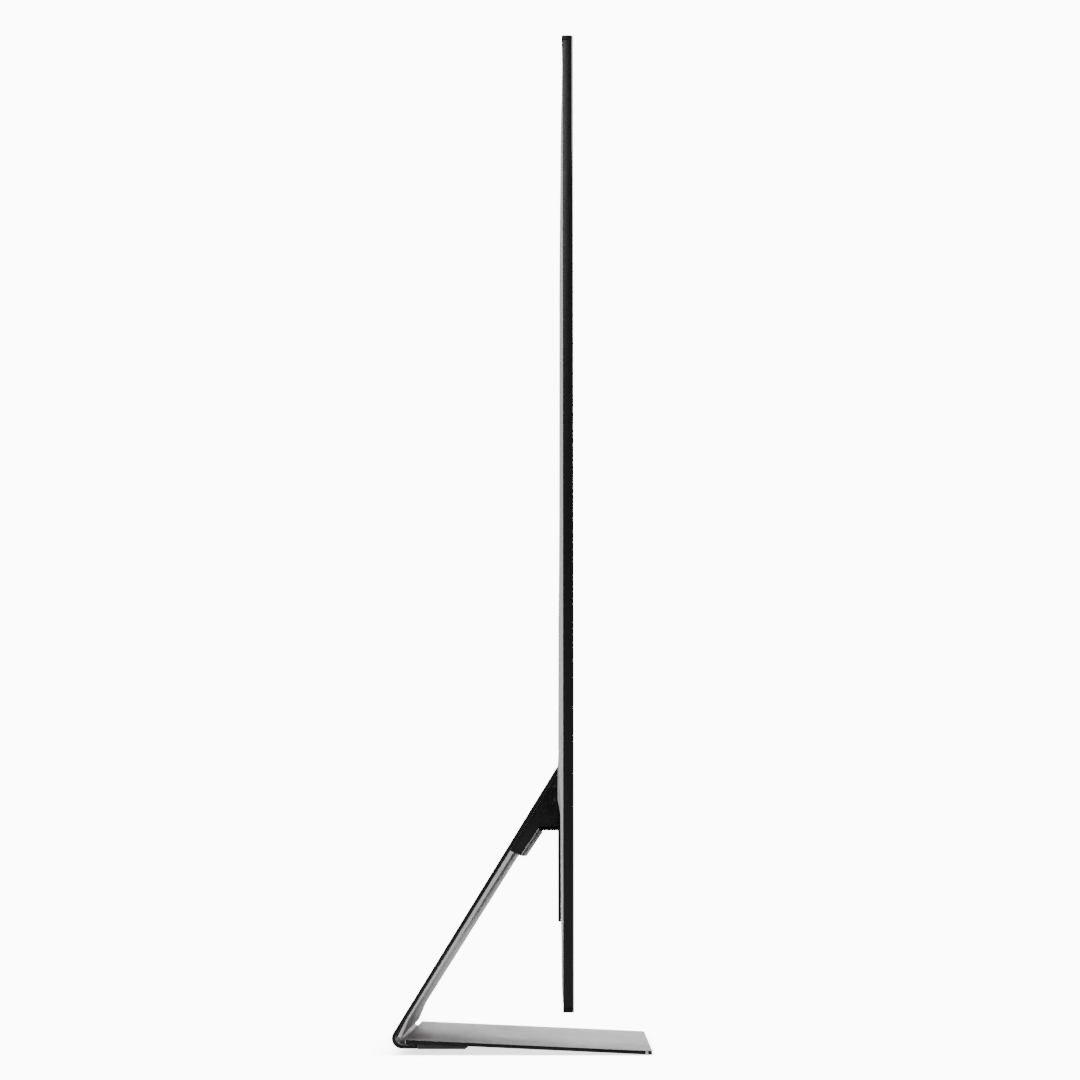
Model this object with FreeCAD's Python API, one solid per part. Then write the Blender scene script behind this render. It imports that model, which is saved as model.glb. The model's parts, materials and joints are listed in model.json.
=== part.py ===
"""Large flat touch display on a bent-plate table stand, in millimetres.

X runs across the display, -Y is the side the screen faces, +Z is up.
The origin is on the floor, under the middle of the whole object.
Depths inside the display are counted from the front of its glass, towards +Y.
"""
import FreeCAD, Part
import math
import os

V = FreeCAD.Vector

# Display
PANEL_W = 1440.0
PANEL_BOTTOM = 68.8
PANEL_TOP = 894.7
FRONT_Y = -52.1
GLASS_T = 1.3
RAIL_DEPTH = 8.8
RAIL_WALL = 4.2
RAIL_SIDE_WALL = 2.0
RAIL_FLANGE = 12.0
RAIL_FLANGE_T = 1.4
TOP_RAIL_DEPTH = 9.8
STACK_MARGIN = 2.6
STACK_BOTTOM = 82.0
STACK_TOP = 888.0
TOUCH_T = 0.5
CELL_T = 1.5
DIFFUSER_T = 1.0
BACKLIGHT_T = 1.5
CHASSIS_T = 1.2

# Rear cover
COVER_HALF_W = 708.0
COVER_BOTTOM = 74.0
COVER_TOP = 887.0
COVER_RIM = 9.2
COVER_WALL = 1.6
COVER_FLAT_POWER = 4
COVER_FROM = 8.0
COVER_PAST = 20.0
BOLSTER_HALF_W = 230.0
BOLSTER_DEPTH = 16.0
BOLSTER_TOE = (12.9, 236.7)
BOLSTER_FACE_Z = (254.5, 287.0)
BOLSTER_HEAD = (15.2, 302.0)
VENT_ROWS = ((822.0, 30), (798.0, 30), (330.0, 16))
VENT_PITCH = 12.0
VENT_SIZE = (2.2, 16.0)
SPEAKER_X = 460.0
SPEAKER_SLOT_Z = (322.0, 350.0)
COUNTERBORE = 0.9

# Wall-bracket sockets on the back
VESA_X = 300.0
VESA_Z = 200.0
VESA_CENTRE_Z = 480.0
VESA_HOLE_R = 4.0
VESA_BOSS_R = 7.5
VESA_FACE_DEPTH = 13.6

# Stand
STAND_W = 360.0
LEAN = math.radians(31.7)
LEG_T = 3.9
BEND_R = 10.2
BEND_Y = 120.4
BEND_Z = 16.7
FLANGE_FRONT = 104.3
BASE_T = 3.7
BASE_REAR = 118.1
BASE_FRONT = -130.6
BASE_REAR_UNDER = 11.6
BASE_FRONT_UNDER = 0.6
BASE_FRONT_CORNER_R = 7.0
BASE_REAR_CORNER_R = 1.5
BLOCK_FRONT = 54.1
BLOCK_UNDER = 6.0
BLOCK_INSET = 1.0
COVER_LOW_T = 3.1
COVER_HIGH_T = 4.2
KNEE = (113.3, 36.2)
COVER_TOE = (121.3, 17.2)

# Neck bracket
NECK_FRONT = FRONT_Y + 16.1
NECK_BOTTOM = 227.8
NECK_STEP_Y = -17.4
SLEEVE_END = (2.1, 198.7)
NECK_WALL = 2.6
NECK_HALF_W = STAND_W / 2 - 1.0
HANGER_DEPTH = (13.2, 16.0)
HANGER_BOTTOM = 132.5
HANGER_TOP = 253.3
HANGER_SLOPE_TOE = 236.9
HANGER_SCREW_SEAT = 14.4
WINDOW_X = (-112.0, 84.0)
WINDOW_Y = (-34.0, -20.6)
PLATE_SPLIT_X = -34.0

# Sockets in the underside of the neck
INLET_X = -86.0
ROCKER_X = -52.0
HDMI_X = (-14.0, 12.0)
USB_X = (42.0, 64.0)
SOCKET_Y = -27.3
SOCKET_TOP = NECK_BOTTOM + 12.0
SOCKET_WALL = 0.5
SOCKET_MOUTH = NECK_BOTTOM + 0.8
HDMI_HALF = (7.6, 2.9)
USB_HALF = (7.0, 3.5)
INLET_HALF = (12.0, 6.2)
INLET_PIN_X = 4.3
ROCKER_HALF_X = 7.0
ROCKER_HALF_Y = 4.2
ROCKER_PIVOT_Z = NECK_BOTTOM + 5.0
ROCKER_TILT = 7.0
ROCKER_GAP = 0.5
SWITCH_HALF = (ROCKER_HALF_X + 2.6, 6.2)

# Controls on the lower rail
BUTTON_X = 300.0
BUTTON_HALF_W = 6.0
BUTTON_DEPTH = (3.0, 7.0)
BUTTON_PROUD = 0.9
BUTTON_TRAVEL = 0.8
SLIDE_GAP = 0.25
SENSOR_HALF_W = 15.0


def box(x, y, z):
    """A box from three (low, high) pairs."""
    return Part.makeBox(x[1] - x[0], y[1] - y[0], z[1] - z[0], V(x[0], y[0], z[0]))


def slab(half_w, depth, z):
    """A box that is symmetrical across the display, placed by its depths behind the glass."""
    return box((-half_w, half_w), (FRONT_Y + depth[0], FRONT_Y + depth[1]), z)


def prism(points, x0, x1):
    """A polygon of (y, z) points, drawn out from x0 to x1."""
    corners = [V(x0, y, z) for y, z in points]
    face = Part.Face(Part.makePolygon(corners + corners[:1]))
    return face.extrude(V(x1 - x0, 0, 0))


def rod_y(x, z, r, y0, y1):
    """A round bar along Y."""
    return Part.makeCylinder(r, y1 - y0, V(x, y0, z), V(0, 1, 0))


def rod_z(x, y, r, z0, z1):
    """A round bar along Z."""
    return Part.makeCylinder(r, z1 - z0, V(x, y, z0), V(0, 0, 1))


def round_edges(shape, radius, wanted):
    """Rounds the edges that the test picks by their middle point and direction."""
    edges = []
    for edge in shape.Edges:
        a, b = edge.Vertexes[0].Point, edge.Vertexes[-1].Point
        if wanted((a + b) * 0.5, b - a):
            edges.append(edge)
    return shape.makeFillet(radius, edges)


def save(name, *solids):
    """Writes one node, as one solid or as a group of separate solids."""
    shape = solids[0] if len(solids) == 1 else Part.makeCompound(list(solids))
    shape.exportStep("parts/" + name + ".step")


# Outlines of the stand, seen from its end

def leg_outer_y(z):
    """Y of the leg's rear face at height z."""
    tangent_y = BEND_Y + BEND_R * math.cos(LEAN)
    tangent_z = BEND_Z + BEND_R * math.sin(LEAN)
    return tangent_y - math.tan(LEAN) * (z - tangent_z)


def leg_inner_y(z):
    """Y of the leg plate's front face at height z."""
    return leg_outer_y(z) - LEG_T / math.cos(LEAN)


def leg_offset(z, distance):
    """A (y, z) point that far in front of the leg plate's front face, square to it."""
    y = leg_inner_y(z) - distance * math.cos(LEAN)
    return (y, z - distance * math.sin(LEAN))


def base_under_z(y):
    """Height of the base plate's underside at y."""
    rise = (BASE_REAR_UNDER - BASE_FRONT_UNDER) / (BASE_REAR - BASE_FRONT)
    return BASE_FRONT_UNDER + rise * (y - BASE_FRONT)


# Display

def front_glass():
    glass = slab(PANEL_W / 2, (0, GLASS_T), (PANEL_BOTTOM, PANEL_TOP))
    return round_edges(glass, 2.5, lambda mid, run: abs(run.y) > 1)


def optical_stack():
    """The bonded sheets behind the glass, from front to back."""
    half_w = PANEL_W / 2 - STACK_MARGIN
    depth = GLASS_T
    sheets = {}
    layers = (("touch_sensor", TOUCH_T), ("display_cell", CELL_T),
              ("diffuser_sheet", DIFFUSER_T), ("backlight_panel", BACKLIGHT_T))
    for name, thickness in layers:
        sheets[name] = slab(half_w, (depth, depth + thickness), (STACK_BOTTOM, STACK_TOP))
        depth += thickness
    return sheets, depth


def chassis_plate(depth):
    """The sheet that carries the boards, with pressed ribs."""
    plate = slab(PANEL_W / 2 - STACK_MARGIN, (depth, depth + CHASSIS_T), (STACK_BOTTOM, STACK_TOP))
    for z in (112.0, 700.0, 760.0):
        rib = slab(600.0, (depth + CHASSIS_T, depth + CHASSIS_T + 1.2), (z, z + 10.0))
        plate = plate.fuse(rib)
    return plate.removeSplitter()


def side_rail(side):
    """A side rail: an outer wall with a flange behind the sheets."""
    outer = PANEL_W / 2
    z = (PANEL_BOTTOM + RAIL_WALL, PANEL_TOP - RAIL_WALL)
    y = (FRONT_Y + GLASS_T, FRONT_Y + RAIL_DEPTH)
    wall = box((outer - RAIL_SIDE_WALL, outer), y, z)
    flange = box((outer - RAIL_FLANGE, outer), (y[1] - RAIL_FLANGE_T, y[1]), z)
    rail = wall.fuse(flange).removeSplitter()
    if side < 0:
        rail = rail.mirror(V(0, 0, 0), V(1, 0, 0))
    return rail


def top_rail():
    half = PANEL_W / 2
    bar = slab(half, (GLASS_T, TOP_RAIL_DEPTH), (PANEL_TOP - RAIL_WALL, PANEL_TOP))
    bar = round_edges(bar, 0.6, lambda mid, run: abs(run.x) > 1 and mid.z > PANEL_TOP - 1
                      and mid.y > FRONT_Y + GLASS_T + 1)
    return bar


def bottom_rail():
    """The lower rail, with openings for the sensor window and the power button."""
    half = PANEL_W / 2
    z = (PANEL_BOTTOM, PANEL_BOTTOM + RAIL_WALL)
    bar = slab(half, (GLASS_T, RAIL_DEPTH + 0.4), z)
    slot = (z[0] - 1, z[1] + 1)
    gap = SLIDE_GAP
    button_x = (BUTTON_X - BUTTON_HALF_W - gap, BUTTON_X + BUTTON_HALF_W + gap)
    button_y = (FRONT_Y + BUTTON_DEPTH[0] - gap, FRONT_Y + BUTTON_DEPTH[1] + gap)
    bar = bar.cut(box(button_x, button_y, slot))
    window_y = (FRONT_Y + BUTTON_DEPTH[0], FRONT_Y + BUTTON_DEPTH[1])
    bar = bar.cut(box((-SENSOR_HALF_W, SENSOR_HALF_W), window_y, slot))
    return bar


def corner_brackets():
    """Four angle pieces that join the rails inside the corners."""
    out = []
    half = PANEL_W / 2 - RAIL_SIDE_WALL
    y = (FRONT_Y + 6.0, FRONT_Y + RAIL_DEPTH - RAIL_FLANGE_T)
    inner_half = PANEL_W / 2 - STACK_MARGIN + 0.2
    for z0, z1 in ((PANEL_BOTTOM + RAIL_WALL, STACK_BOTTOM - 0.5), (STACK_TOP + 0.3, PANEL_TOP - RAIL_WALL)):
        for side in (-1, 1):
            x = sorted((side * half, side * (inner_half - 36.0)))
            out.append(box(x, y, (z0, z1)))
    return out


def cover_depth(x, z):
    """Depth of the rear cover's outer skin: a low crown, deepest just above the neck."""
    heights = (COVER_BOTTOM, 80.0, 135.0, 246.0, 300.0, 365.0, 420.0, 480.0, 735.0, 860.0, COVER_TOP)
    depths = (10.6, 11.6, 12.5, 13.0, 15.3, 15.3, 15.0, 14.3, 13.8, 12.4, 10.6)
    crown = depths[-1]
    for (z0, d0), (z1, d1) in zip(zip(heights, depths), zip(heights[1:], depths[1:])):
        if z0 <= z <= z1:
            crown = d0 + (d1 - d0) * (z - z0) / (z1 - z0)
            break
    share = 1 - (abs(x) / COVER_HALF_W) ** COVER_FLAT_POWER
    return COVER_RIM + (crown - COVER_RIM) * share


def crowned_solid(inset, half_w, front_depth):
    """The cover's crown as a closed solid, with its skin moved forward by the inset."""
    heights = [COVER_BOTTOM, 80.0, 105.0, 135.0, 185.0, 246.0, 270.0, 300.0, 365.0, 420.0, 480.0, 600.0,
               735.0, 800.0, 860.0, COVER_TOP]
    if inset:
        heights[0] += inset
        heights[-1] -= inset
    columns = 12
    sections = []
    for i in range(columns + 1):
        x = -half_w + 2 * half_w * i / columns
        points = [V(x, FRONT_Y + cover_depth(x, z) - inset, z) for z in heights]
        points.append(V(x, FRONT_Y + front_depth, heights[-1]))
        points.append(V(x, FRONT_Y + front_depth, heights[0]))
        sections.append(Part.makePolygon(points + points[:1]))
    return Part.makeLoft(sections, True, True)


def through_cover():
    """A range in Y that cuts right through the rear cover."""
    return (FRONT_Y + COVER_FROM, FRONT_Y + COVER_PAST)


def vent_slots():
    """Two rows of upright air slots near the top, and one across the lower middle."""
    slots = []
    half, height = VENT_SIZE[0] / 2, VENT_SIZE[1]
    for z, half_count in VENT_ROWS:
        for i in range(-half_count, half_count + 1):
            x = i * VENT_PITCH
            slots.append(box((x - half, x + half), through_cover(), (z, z + height)))
    return slots


def speaker_slots():
    slots = []
    for side in (-1, 1):
        for i in range(-7, 8):
            x = side * SPEAKER_X + i * 6.0
            slots.append(box((x - 1.0, x + 1.0), through_cover(), SPEAKER_SLOT_Z))
    return slots


def vesa_points():
    return [(sx * VESA_X / 2, VESA_CENTRE_Z + sz * VESA_Z / 2) for sx in (-1, 1) for sz in (-1, 1)]


def hanger_screw_points():
    return [(x, z) for x in (-150.0, -50.0, 50.0, 150.0) for z in (152.0, 200.0)]


def cover_screw_points():
    top = [(x, 868.0) for x in (-600.0, -300.0, 0.0, 300.0, 600.0)]
    bottom = [(x, 96.0) for x in (-600.0, -300.0, 300.0, 600.0)]
    sides = [(x, z) for x in (-640.0, 640.0) for z in (300.0, 600.0)]
    return top + bottom + sides


def rear_cover():
    """A crowned shell with a raised bolster above the neck, slots, and holes for its screws and bushes."""
    skin = crowned_solid(0, COVER_HALF_W, RAIL_DEPTH)
    hollow = crowned_solid(COVER_WALL, COVER_HALF_W - 22.0, RAIL_DEPTH - 1.0)
    ledge = FRONT_Y + BOLSTER_DEPTH
    root = FRONT_Y + RAIL_DEPTH
    bolster = prism([(root, BOLSTER_TOE[1]), (FRONT_Y + BOLSTER_TOE[0], BOLSTER_TOE[1]),
                     (ledge, BOLSTER_FACE_Z[0]), (ledge, BOLSTER_FACE_Z[1]),
                     (FRONT_Y + BOLSTER_HEAD[0], BOLSTER_HEAD[1]), (root, BOLSTER_HEAD[1])],
                    -BOLSTER_HALF_W, BOLSTER_HALF_W)
    bolster = bolster.makeChamfer(2.0, [e for e in bolster.Edges
                                        if abs(abs(e.CenterOfMass.x) - BOLSTER_HALF_W) < 0.01
                                        and abs(e.CenterOfMass.y - ledge) < 0.01])
    cover = skin.fuse(bolster).cut(hollow)
    holes = vent_slots() + speaker_slots()
    for x, z in vesa_points():
        holes.append(rod_y(x, z, VESA_BOSS_R + 0.5, *through_cover()))
    for x, z in hanger_screw_points():
        holes.append(rod_y(x, z, 3.2, *through_cover()))
    for x, z in cover_screw_points():
        surface = FRONT_Y + cover_depth(x, z)
        holes.append(rod_y(x, z, 3.4, surface - COUNTERBORE, surface + 4.0))
        holes.append(rod_y(x, z, 1.7, FRONT_Y + COVER_FROM, surface))
    return cover.cut(Part.makeCompound(holes))


def cover_screws(chassis_depth):
    """Pan-head screws that sit in shallow counterbores and reach the chassis."""
    screws = []
    for x, z in cover_screw_points():
        surface = FRONT_Y + cover_depth(x, z)
        seat = surface - COUNTERBORE
        head = rod_y(x, z, 3.0, seat, seat + 0.8)
        shank = rod_y(x, z, 1.4, FRONT_Y + chassis_depth, seat)
        cross = box((x - 1.8, x + 1.8), (seat + 0.3, seat + 2.0), (z - 0.4, z + 0.4))
        cross = cross.fuse(box((x - 0.4, x + 0.4), (seat + 0.3, seat + 2.0), (z - 1.8, z + 1.8)))
        screws.append(head.fuse(shank).cut(cross))
    return screws


def vesa_inserts(chassis_depth):
    """Steel bushes on the chassis that a wall bracket screws into."""
    bushes = []
    for x, z in vesa_points():
        bush = rod_y(x, z, VESA_BOSS_R, FRONT_Y + chassis_depth, FRONT_Y + VESA_FACE_DEPTH)
        bushes.append(bush.cut(rod_y(x, z, VESA_HOLE_R, FRONT_Y + chassis_depth, FRONT_Y + COVER_PAST)))
    return bushes


# Electronics on the chassis

BOARDS = {
    "main_board": ((170.0, 400.0), (410.0, 560.0)),
    "power_board": ((-400.0, -180.0), (400.0, 560.0)),
    "timing_board": ((-130.0, 130.0), (620.0, 668.0)),
}
BOARD_STANDOFF = 1.6
BOARD_T = 1.4


def circuit_board(name, chassis_depth, tall_parts):
    """A board with its tall parts; the parts are (x, z, width, height, thickness) from its corner."""
    (x0, x1), (z0, z1) = BOARDS[name]
    y = FRONT_Y + chassis_depth + BOARD_STANDOFF
    board = box((x0, x1), (y, y + BOARD_T), (z0, z1))
    for px, pz, width, height, thickness in tall_parts:
        part = box((x0 + px, x0 + px + width), (y + BOARD_T, y + BOARD_T + thickness),
                   (z0 + pz, z0 + pz + height))
        board = board.fuse(part)
    return board.removeSplitter()


def board_standoffs(chassis_depth):
    posts = []
    y = FRONT_Y + chassis_depth
    for (x0, x1), (z0, z1) in BOARDS.values():
        for x in (x0 + 6.0, x1 - 6.0):
            for z in (z0 + 6.0, z1 - 6.0):
                posts.append(rod_y(x, z, 2.6, y, y + BOARD_STANDOFF))
    return posts


def ribbon_cables(chassis_depth):
    """Flat cables lying on the chassis between the boards."""
    y = (FRONT_Y + chassis_depth + 0.3, FRONT_Y + chassis_depth + 0.6)
    links = [((-90.0, -60.0), (670.0, 698.0)), ((60.0, 90.0), (670.0, 698.0)),
             ((133.0, 165.0), (630.0, 646.0)), ((-176.0, 166.0), (500.0, 512.0))]
    return [box(x, y, z) for x, z in links]


def speaker(side, chassis_depth):
    """A flat loudspeaker: a sealed box with a round cone mounting on its back."""
    y = FRONT_Y + chassis_depth
    x = side * SPEAKER_X
    z = sum(SPEAKER_SLOT_Z) / 2
    body = box((x - 55.0, x + 55.0), (y + 0.2, y + 3.4), (z - 36.0, z + 36.0))
    cone = rod_y(x, z, 24.0, y + 3.4, y + 4.0)
    dish = Part.makeCone(12.0, 22.0, 1.6, V(x, y + 2.4, z), V(0, 1, 0))
    return body.fuse(cone).cut(dish)


def heat_spreader(chassis_depth):
    (x0, x1), (z0, z1) = BOARDS["main_board"]
    y = FRONT_Y + chassis_depth + BOARD_STANDOFF + BOARD_T + 1.2
    return box((x0 + 78.0, x0 + 152.0), (y, y + 0.8), (z0 + 48.0, z0 + 112.0))


# Controls on the lower rail

def power_button():
    """A push bar with a collar that keeps it in the rail."""
    y = (FRONT_Y + BUTTON_DEPTH[0], FRONT_Y + BUTTON_DEPTH[1])
    x = (BUTTON_X - BUTTON_HALF_W, BUTTON_X + BUTTON_HALF_W)
    collar_z = PANEL_BOTTOM + RAIL_WALL + 0.3
    bar = box(x, y, (PANEL_BOTTOM - BUTTON_PROUD, collar_z + 0.6))
    bar = round_edges(bar, 0.8, lambda mid, run: abs(run.z) > 1)
    collar = box((x[0] - 1.5, x[1] + 1.5), (y[0] - 0.6, y[1] + 0.6), (collar_z, collar_z + 1.0))
    return bar.fuse(collar).removeSplitter()


def button_switch():
    """The switch and its carrier above the push bar."""
    low = PANEL_BOTTOM + RAIL_WALL + 1.3 + BUTTON_TRAVEL + 0.3
    y = (FRONT_Y + BUTTON_DEPTH[0] - 1.2, FRONT_Y + BUTTON_DEPTH[1] + 0.3)
    carrier = box((BUTTON_X - 14.0, BUTTON_X + 14.0), y, (low + 1.4, low + 3.0))
    dome = rod_z(BUTTON_X, (y[0] + y[1]) / 2, 1.6, low, low + 1.4)
    return carrier.fuse(dome)


def sensor_window():
    y = (FRONT_Y + BUTTON_DEPTH[0], FRONT_Y + BUTTON_DEPTH[1])
    pane = box((-SENSOR_HALF_W, SENSOR_HALF_W), y, (PANEL_BOTTOM, PANEL_BOTTOM + RAIL_WALL))
    return pane


def sensor_board():
    y = (FRONT_Y + BUTTON_DEPTH[0] - 1.2, FRONT_Y + BUTTON_DEPTH[1] + 0.3)
    z = PANEL_BOTTOM + RAIL_WALL
    board = box((-22.0, 22.0), y, (z + 2.2, z + 3.4))
    for x in (-8.0, 0.0, 8.0):
        board = board.fuse(rod_z(x, (y[0] + y[1]) / 2, 1.6, z + 0.4, z + 2.2))
    return board


# Stand

def leg_plate():
    """One bent plate: the leaning leg, the bend, and a short foot flange."""
    inner_r = BEND_R - LEG_T
    centre = V(0, BEND_Y, BEND_Z)
    square = V(0, math.cos(LEAN), math.sin(LEAN))
    half_turn = (LEAN - math.pi / 2) / 2
    middle = V(0, math.cos(half_turn), math.sin(half_turn))
    down = V(0, 0, -1)
    tip_outer_z = BEND_Z + BEND_R * math.sin(LEAN) + (leg_outer_y(BEND_Z + BEND_R * math.sin(LEAN))
                                                      - NECK_FRONT) / math.tan(LEAN)
    tip_inner_z = tip_outer_z - LEG_T / math.sin(LEAN)
    outer_tip = V(0, NECK_FRONT, tip_outer_z)
    inner_tip = V(0, NECK_FRONT, tip_inner_z)
    outer = [centre + square * BEND_R, centre + middle * BEND_R, centre + down * BEND_R]
    inner = [centre + square * inner_r, centre + middle * inner_r, centre + down * inner_r]
    flange_low = V(0, FLANGE_FRONT, BEND_Z - BEND_R)
    flange_high = V(0, FLANGE_FRONT, BEND_Z - inner_r)
    edges = [Part.LineSegment(outer_tip, outer[0]), Part.Arc(*outer), Part.LineSegment(outer[2], flange_low),
             Part.LineSegment(flange_low, flange_high), Part.LineSegment(flange_high, inner[2]),
             Part.Arc(inner[2], inner[1], inner[0]), Part.LineSegment(inner[0], inner_tip),
             Part.LineSegment(inner_tip, outer_tip)]
    face = Part.Face(Part.Wire([edge.toShape() for edge in edges]))
    plate = face.extrude(V(STAND_W, 0, 0))
    plate.translate(V(-STAND_W / 2, 0, 0))
    return plate


def leg_cover():
    """The slim front cover over the leg's cable channel, hollow behind."""
    end_z = leg_cover_top_z()
    high = leg_offset(end_z, COVER_HIGH_T)
    gap = 0.05
    back_top = leg_offset(end_z, gap)
    back_low = leg_offset(38.0, gap)
    toe_back = (COVER_TOE[0] + 3.4, COVER_TOE[1] + 1.2)
    outline = [high, back_top, back_low, toe_back, COVER_TOE, KNEE]
    half = STAND_W / 2 - 0.6
    cover = prism(outline, -half, half)
    channel = [leg_offset(end_z + 4.0, COVER_LOW_T - 1.2), leg_offset(end_z + 4.0, -1.0),
               leg_offset(46.0, -1.0), leg_offset(46.0, COVER_LOW_T - 1.2)]
    return cover.cut(prism(channel, -120.0, 120.0))


def leg_cover_top_z():
    """Height on the leg plate's front face where the cover meets the neck."""
    return SLEEVE_END[1] + sleeve_depth() * math.sin(LEAN) - 0.3


def sleeve_depth():
    """How far the lower neck stands in front of the leg plate, square to it."""
    across = leg_inner_y(SLEEVE_END[1]) - SLEEVE_END[0]
    return across * math.cos(LEAN)


def base_plate():
    """The flat foot plate, sloping gently down to the front, with its front corners well rounded."""
    under_rear, under_front = base_under_z(BASE_REAR), base_under_z(BASE_FRONT)
    outline = [(BASE_FRONT, under_front), (BASE_REAR, under_rear),
               (BASE_REAR, under_rear + BASE_T), (BASE_FRONT, under_front + BASE_T)]
    plate = prism(outline, -STAND_W / 2, STAND_W / 2)
    for y, radius in ((BASE_FRONT, BASE_FRONT_CORNER_R), (BASE_REAR, BASE_REAR_CORNER_R)):
        plate = round_edges(plate, radius, lambda mid, run: abs(run.z) > 2 and abs(run.x) < 0.1
                            and abs(run.y) < 0.1 and abs(mid.y - y) < 0.1)
    for x, y in base_screw_points():
        plate = plate.cut(rod_z(x, y, 2.4, -5.0, base_under_z(y) + 2.4))
    return plate


def base_screw_points():
    return [(x, y) for x in (-150.0, -50.0, 50.0, 150.0) for y in (66.0, 94.0)]


def foot_block():
    """The wedge under the rear of the foot plate that the leg's flange is fixed to."""
    chamfer = 3.0
    half = STAND_W / 2 - BLOCK_INSET
    outline = [(FLANGE_FRONT, BLOCK_UNDER), (FLANGE_FRONT, base_under_z(FLANGE_FRONT)),
               (BLOCK_FRONT, base_under_z(BLOCK_FRONT)), (BLOCK_FRONT, base_under_z(BLOCK_FRONT) - 0.6),
               (BLOCK_FRONT + chamfer, BLOCK_UNDER)]
    block = prism(outline, -half, half)
    for x, y in base_screw_points():
        block = block.cut(rod_z(x, y, 2.4, 0.0, 20.0))
        block = block.cut(rod_z(x, y, 4.6, 0.0, BLOCK_UNDER + 1.4))
    return block


def base_screws():
    """Flat-head screws through the block, into the foot plate."""
    screws = []
    for x, y in base_screw_points():
        head_low = BLOCK_UNDER + 0.3
        head = rod_z(x, y, 4.2, head_low, BLOCK_UNDER + 1.4)
        shank = rod_z(x, y, 2.2, BLOCK_UNDER + 1.4, base_under_z(y) + 2.2)
        socket = Part.makeCylinder(1.5, 0.8, V(x, y, head_low), V(0, 0, 1))
        screws.append(head.fuse(shank).cut(socket))
    return screws


def rear_pads():
    """Rubber feet under the block, set well in from its ends."""
    pads = []
    for side in (-1, 1):
        x = sorted((side * 24.0, side * 80.0))
        pad = box(x, (73.0, 87.0), (0, BLOCK_UNDER))
        pads.append(round_edges(pad, 3.0, lambda mid, run: abs(run.z) > 1))
    return pads


def front_pads():
    """Thin rubber wedges that fill the space under the plate's front edge."""
    pads = []
    y0, y1 = BASE_FRONT + 4.0, BASE_FRONT + 22.0
    for side in (-1, 1):
        x = sorted((side * 60.0, side * 150.0))
        outline = [(y0, 0.0), (y1, 0.0), (y1, base_under_z(y1)), (y0, base_under_z(y0))]
        pads.append(prism(outline, x[0], x[1]))
    return pads


# Neck

def neck_shell():
    """The hollow black wedge that joins the leg to the display."""
    depth = sleeve_depth()
    foot_z = SLEEVE_END[1] + depth * math.sin(LEAN)
    tip_z = foot_z + (leg_inner_y(foot_z) - NECK_FRONT) / math.tan(LEAN)
    outline = [SLEEVE_END, (leg_inner_y(foot_z), foot_z), (NECK_FRONT, tip_z),
               (NECK_FRONT, NECK_BOTTOM), (NECK_STEP_Y, NECK_BOTTOM)]
    half = NECK_HALF_W
    shell = prism(outline, -half, half)
    wall_y = NECK_WALL / math.cos(LEAN)
    top_z = tip_z - 12.0
    hollow = [(NECK_FRONT - 1.0, NECK_BOTTOM + NECK_WALL), (NECK_STEP_Y + 1.0, NECK_BOTTOM + NECK_WALL),
              (SLEEVE_END[0] + 3.3, SLEEVE_END[1] + 5.6), (leg_inner_y(foot_z + 3.0) - wall_y, foot_z + 3.0),
              (leg_inner_y(top_z) - wall_y, top_z), (NECK_FRONT - 1.0, top_z)]
    shell = shell.cut(prism(hollow, -half + 4.0, half - 4.0))
    window = box(WINDOW_X, WINDOW_Y, (NECK_BOTTOM - 1.0, NECK_BOTTOM + 4.0))
    shell = shell.cut(window)
    for x, y, z in neck_side_screw_points():
        shell = shell.cut(Part.makeCylinder(1.1, 8.0, V(x - 4.0, y, z), V(1, 0, 0)))
    return shell


def neck_side_screw_points():
    return [(side * NECK_HALF_W, y, z) for side in (-1, 1) for y, z in ((-32.6, 268.5), (-33.0, 254.5))]


def neck_side_screws():
    screws = []
    for x, y, z in neck_side_screw_points():
        outward = V(1 if x > 0 else -1, 0, 0)
        head = Part.makeCylinder(1.9, 0.5, V(x, y, z), outward)
        shank = Part.makeCylinder(0.9, 3.8, V(x, y, z), outward * -1)
        screws.append(head.fuse(shank))
    return screws


def neck_trim():
    """The satin strip stuck along the sloping face under the neck."""
    depth_low, depth_high = 0.0, 0.9
    run = V(0, NECK_STEP_Y - SLEEVE_END[0], NECK_BOTTOM - SLEEVE_END[1])
    length = run.Length
    run.normalize()
    out = V(0, -run.z, run.y)
    start = V(0, SLEEVE_END[0], SLEEVE_END[1])
    corners = []
    near, far = 1.2, length - 1.6
    for along, off in ((near, depth_low), (far, depth_low), (far, depth_high), (near, depth_high)):
        point = start + run * along + out * off
        corners.append((point.y, point.z))
    half = NECK_HALF_W - 0.4
    return prism(corners, -half, half)


def hanger_plate():
    """The steel plate on the display's back that the neck is welded to, sloped off under the bolster."""
    half = STAND_W / 2 - 3.0
    front, back = (FRONT_Y + depth for depth in HANGER_DEPTH)
    plate = prism([(front, HANGER_BOTTOM), (back, HANGER_BOTTOM), (back, HANGER_TOP),
                   (front, HANGER_SLOPE_TOE)], -half, half)
    plate = round_edges(plate, 4.0, lambda mid, run: abs(run.y) > 1 and mid.z < HANGER_BOTTOM + 1)
    for x, z in hanger_screw_points():
        plate = plate.cut(rod_y(x, z, 2.9, FRONT_Y, FRONT_Y + 20.0))
        plate = plate.cut(rod_y(x, z, 5.2, FRONT_Y + HANGER_SCREW_SEAT, FRONT_Y + 20.0))
    return plate


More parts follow.
